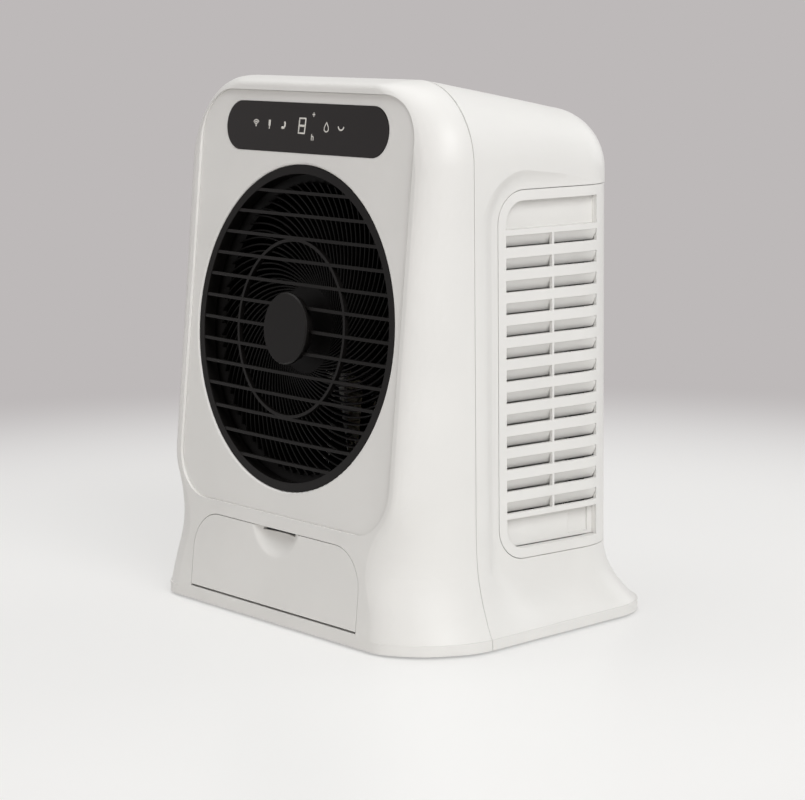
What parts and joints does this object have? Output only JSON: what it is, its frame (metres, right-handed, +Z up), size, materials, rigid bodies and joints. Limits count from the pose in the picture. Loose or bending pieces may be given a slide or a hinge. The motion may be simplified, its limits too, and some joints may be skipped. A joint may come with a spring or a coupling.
{
  "type": "evaporative air cooler",
  "caption": "Compact table-top evaporative air cooler with a round grille, a touch display, a water tank drawer and a removable louvred rear cover.",
  "frame": {"origin": "on the floor, under the middle of the base rim's box", "axes": "+Z up, -Y to the front with the air outlet, +X to the right seen from the front"},
  "size_m": [0.289, 0.208, 0.3335],
  "materials": {
    "white_plastic": "satin moulded",
    "black_plastic": "satin moulded",
    "display_plastic": "polished dark acrylic",
    "circuit_board": "solder mask",
    "filter_plastic": "fine mesh",
    "motor_can": "satin",
    "steel": "plated",
    "nut_plastic": "moulded",
    "pad_paper": "corrugated paper",
    "inner_plastic": "moulded",
    "tank_plastic": "moulded",
    "hose_rubber": "smooth",
    "foot_rubber": "matte"
  },
  "bodies": {
    "housing": {"front_housing": "white_plastic", "rear_housing": "white_plastic", "front_fascia": "white_plastic", "base_plate": "white_plastic", "display_window": "display_plastic", "control_board": "circuit_board", "front_grille": "black_plastic", "grille_hub_cap": "black_plastic", "spiral_guard": "black_plastic", "fan_shroud": "black_plastic", "motor_bracket": "black_plastic", "power_inlet": "black_plastic", "fan_motor": "motor_can", "bracket_screws": "steel", "base_screws": "steel", "cooling_pad": "pad_paper", "pad_frame": "inner_plastic", "water_tray": "inner_plastic", "pump_sump": "inner_plastic", "pump": "nut_plastic", "pump_hose": "hose_rubber", "rubber_feet": "foot_rubber"},
    "fan": {"fan_impeller": "black_plastic", "motor_shaft": "steel", "fan_nut": "nut_plastic"},
    "tank": {"tank_drawer": "tank_plastic", "drawer_front": "white_plastic", "tank_valve": "inner_plastic"},
    "rear_cover": {"louvre_cover": "white_plastic", "dust_filter": "filter_plastic"}
  },
  "joints": [
    {"name": "fan_spin", "type": "hinge", "parent": "housing", "child": "fan", "pos_m": [0, -0.0837, 0.182], "axis": [0, -0.9945, 0.1045], "continuous": true},
    {"name": "tank_slide", "type": "slide", "parent": "housing", "child": "tank", "axis": [0, -1, 0], "range_m": [0, 0.11]},
    {"name": "cover_slide", "type": "slide", "parent": "housing", "child": "rear_cover", "axis": [0, 1, 0], "range_m": [0, 0.06]}
  ]
}
